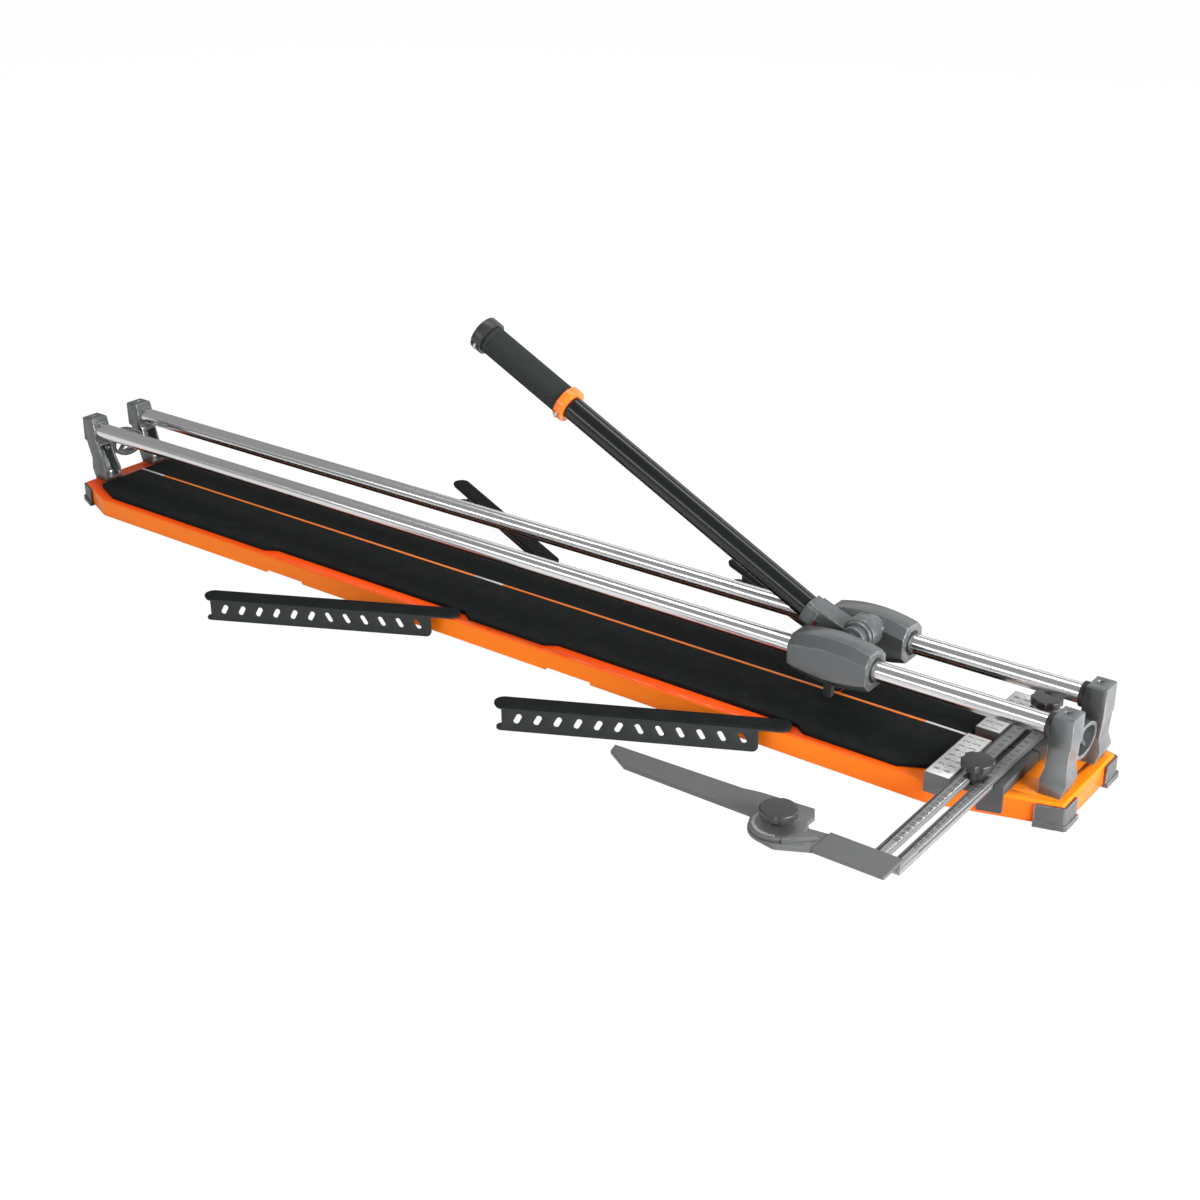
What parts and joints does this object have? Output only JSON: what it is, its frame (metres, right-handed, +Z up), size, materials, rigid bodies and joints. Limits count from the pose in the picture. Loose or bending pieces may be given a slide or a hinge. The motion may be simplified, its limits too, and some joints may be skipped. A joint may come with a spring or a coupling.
{
  "type": "manual tile cutter",
  "caption": "Long push-type tile cutter with chrome rails, lever carriage, rubber bed, swing-out supports and a sliding angle gauge.",
  "frame": {"origin": "centre of the bed's length on the cut line, at the level of the feet's undersides", "axes": "+X along the bed towards the fence end, +Y to the far side of the cut line, +Z up"},
  "size_m": [1.3712, 0.5051, 0.3373],
  "materials": {
    "painted_orange": "semi-gloss orange powder coat",
    "black_channel": "black paint",
    "black_rubber": "matt, fine grain",
    "grey_rubber": "matt",
    "grey_casting": "satin grey painted casting",
    "gauge_grey": "satin grey",
    "chrome_rail": "polished",
    "bright_steel": "turned, bright zinc",
    "black_tube": "gloss black",
    "black_plastic": "moulded, fine texture",
    "orange_plastic": "moulded",
    "orange_ridge": "orange coated steel strip",
    "scale_white": "printed centimetre scale",
    "carbide": "ground carbide",
    "bearing_liner": "black low friction liner",
    "dark_casting": "satin near-black painted casting"
  },
  "bodies": {
    "bed": {"base_tray": "painted_orange", "centre_channel": "black_channel", "rear_corner_feet": "grey_rubber", "front_corner_feet": "grey_rubber", "middle_feet": "black_rubber", "near_pad": "black_rubber", "far_pad": "black_rubber", "breaker_ridge": "orange_ridge", "ridge_inserts": "bright_steel", "rear_bridge": "grey_casting", "front_bridge": "grey_casting", "post_bolts": "bright_steel", "bridge_screws": "bright_steel", "near_rail": "chrome_rail", "far_rail": "chrome_rail", "rail_bumpers": "black_rubber", "rail_grub_screws": "bright_steel", "near_fence": "dark_casting", "far_fence": "dark_casting", "scale_plates": "scale_white", "bed_screws": "bright_steel", "near_gauge_guide": "dark_casting", "far_gauge_guide": "dark_casting", "clamp_plates": "black_channel", "arm_pivot_pins": "bright_steel", "rear_near_post": "grey_casting", "rear_far_post": "grey_casting", "front_near_post": "grey_casting", "front_far_post": "grey_casting"},
    "carriage": {"near_housing": "grey_casting", "far_housing": "grey_casting", "slide_bushes": "bearing_liner", "lever_axle": "bright_steel"},
    "handle": {"lever_knuckle": "grey_casting", "tube_screw": "bright_steel", "handle_tube": "black_tube", "handle_grip": "black_rubber", "grip_collar": "orange_plastic", "grip_end_clamp": "black_plastic", "grip_screws": "bright_steel", "wheel_pin": "bright_steel", "breaker_foot": "dark_casting", "breaker_screw": "bright_steel"},
    "wheel": {"scoring_wheel": "carbide"},
    "gauge": {"ruler_bars": "gauge_grey", "gauge_end_plate": "gauge_grey", "gauge_rivets": "bright_steel", "stop_bracket": "gauge_grey"},
    "stop": {"stop_arm": "gauge_grey"},
    "stop_knob_body": {"stop_knob": "black_plastic"},
    "near_knob_body": {"near_ruler_knob": "black_plastic"},
    "far_knob_body": {"far_ruler_knob": "black_plastic"},
    "near_rear_support": {"near_rear_arm": "black_channel", "near_rear_arm_pad": "black_rubber"},
    "near_front_support": {"near_front_arm": "black_channel", "near_front_arm_pad": "black_rubber"},
    "far_rear_support": {"far_rear_arm": "black_channel", "far_rear_arm_pad": "black_rubber"},
    "far_front_support": {"far_front_arm": "black_channel", "far_front_arm_pad": "black_rubber"}
  },
  "joints": [
    {"name": "carriage_slide", "type": "slide", "parent": "bed", "child": "carriage", "axis": [1, 0, 0], "range_m": [-1.045, 0.136]},
    {"name": "lever_hinge", "type": "hinge", "parent": "carriage", "child": "handle", "pos_m": [0.433, 0, 0.1035], "axis": [0, 1, 0], "range_deg": [0, 75]},
    {"name": "wheel_spin", "type": "hinge", "parent": "handle", "child": "wheel", "pos_m": [0.407, 0, 0.041], "axis": [0, 1, 0], "continuous": true},
    {"name": "gauge_slide", "type": "slide", "parent": "bed", "child": "gauge", "axis": [0, 1, 0], "range_m": [-0.12, 0.125]},
    {"name": "stop_turn", "type": "hinge", "parent": "gauge", "child": "stop", "pos_m": [0.4995, -0.256, 0.04], "axis": [0, 0, 1], "range_deg": [-45, 45]},
    {"name": "stop_knob_turn", "type": "hinge", "parent": "gauge", "child": "stop_knob_body", "pos_m": [0.4995, -0.256, 0.05], "axis": [0, 0, 1], "continuous": true},
    {"name": "near_knob_turn", "type": "hinge", "parent": "bed", "child": "near_knob_body", "pos_m": [0.5985, -0.077, 0.05], "axis": [0, 0, 1], "continuous": true},
    {"name": "far_knob_turn", "type": "hinge", "parent": "bed", "child": "far_knob_body", "pos_m": [0.5985, 0.07, 0.05], "axis": [0, 0, 1], "continuous": true},
    {"name": "near_rear_support_swing", "type": "hinge", "parent": "bed", "child": "near_rear_support", "pos_m": [-0.0245, -0.087, 0.027], "axis": [0, 0, 1], "range_deg": [-26.7, 63.3]},
    {"name": "near_front_support_swing", "type": "hinge", "parent": "bed", "child": "near_front_support", "pos_m": [0.3985, -0.087, 0.027], "axis": [0, 0, 1], "range_deg": [-26.7, 63.3]},
    {"name": "far_rear_support_swing", "type": "hinge", "parent": "bed", "child": "far_rear_support", "pos_m": [-0.0245, 0.087, 0.027], "axis": [0, 0, -1], "range_deg": [-26.7, 63.3]},
    {"name": "far_front_support_swing", "type": "hinge", "parent": "bed", "child": "far_front_support", "pos_m": [0.3985, 0.087, 0.027], "axis": [0, 0, -1], "range_deg": [-26.7, 63.3]}
  ]
}
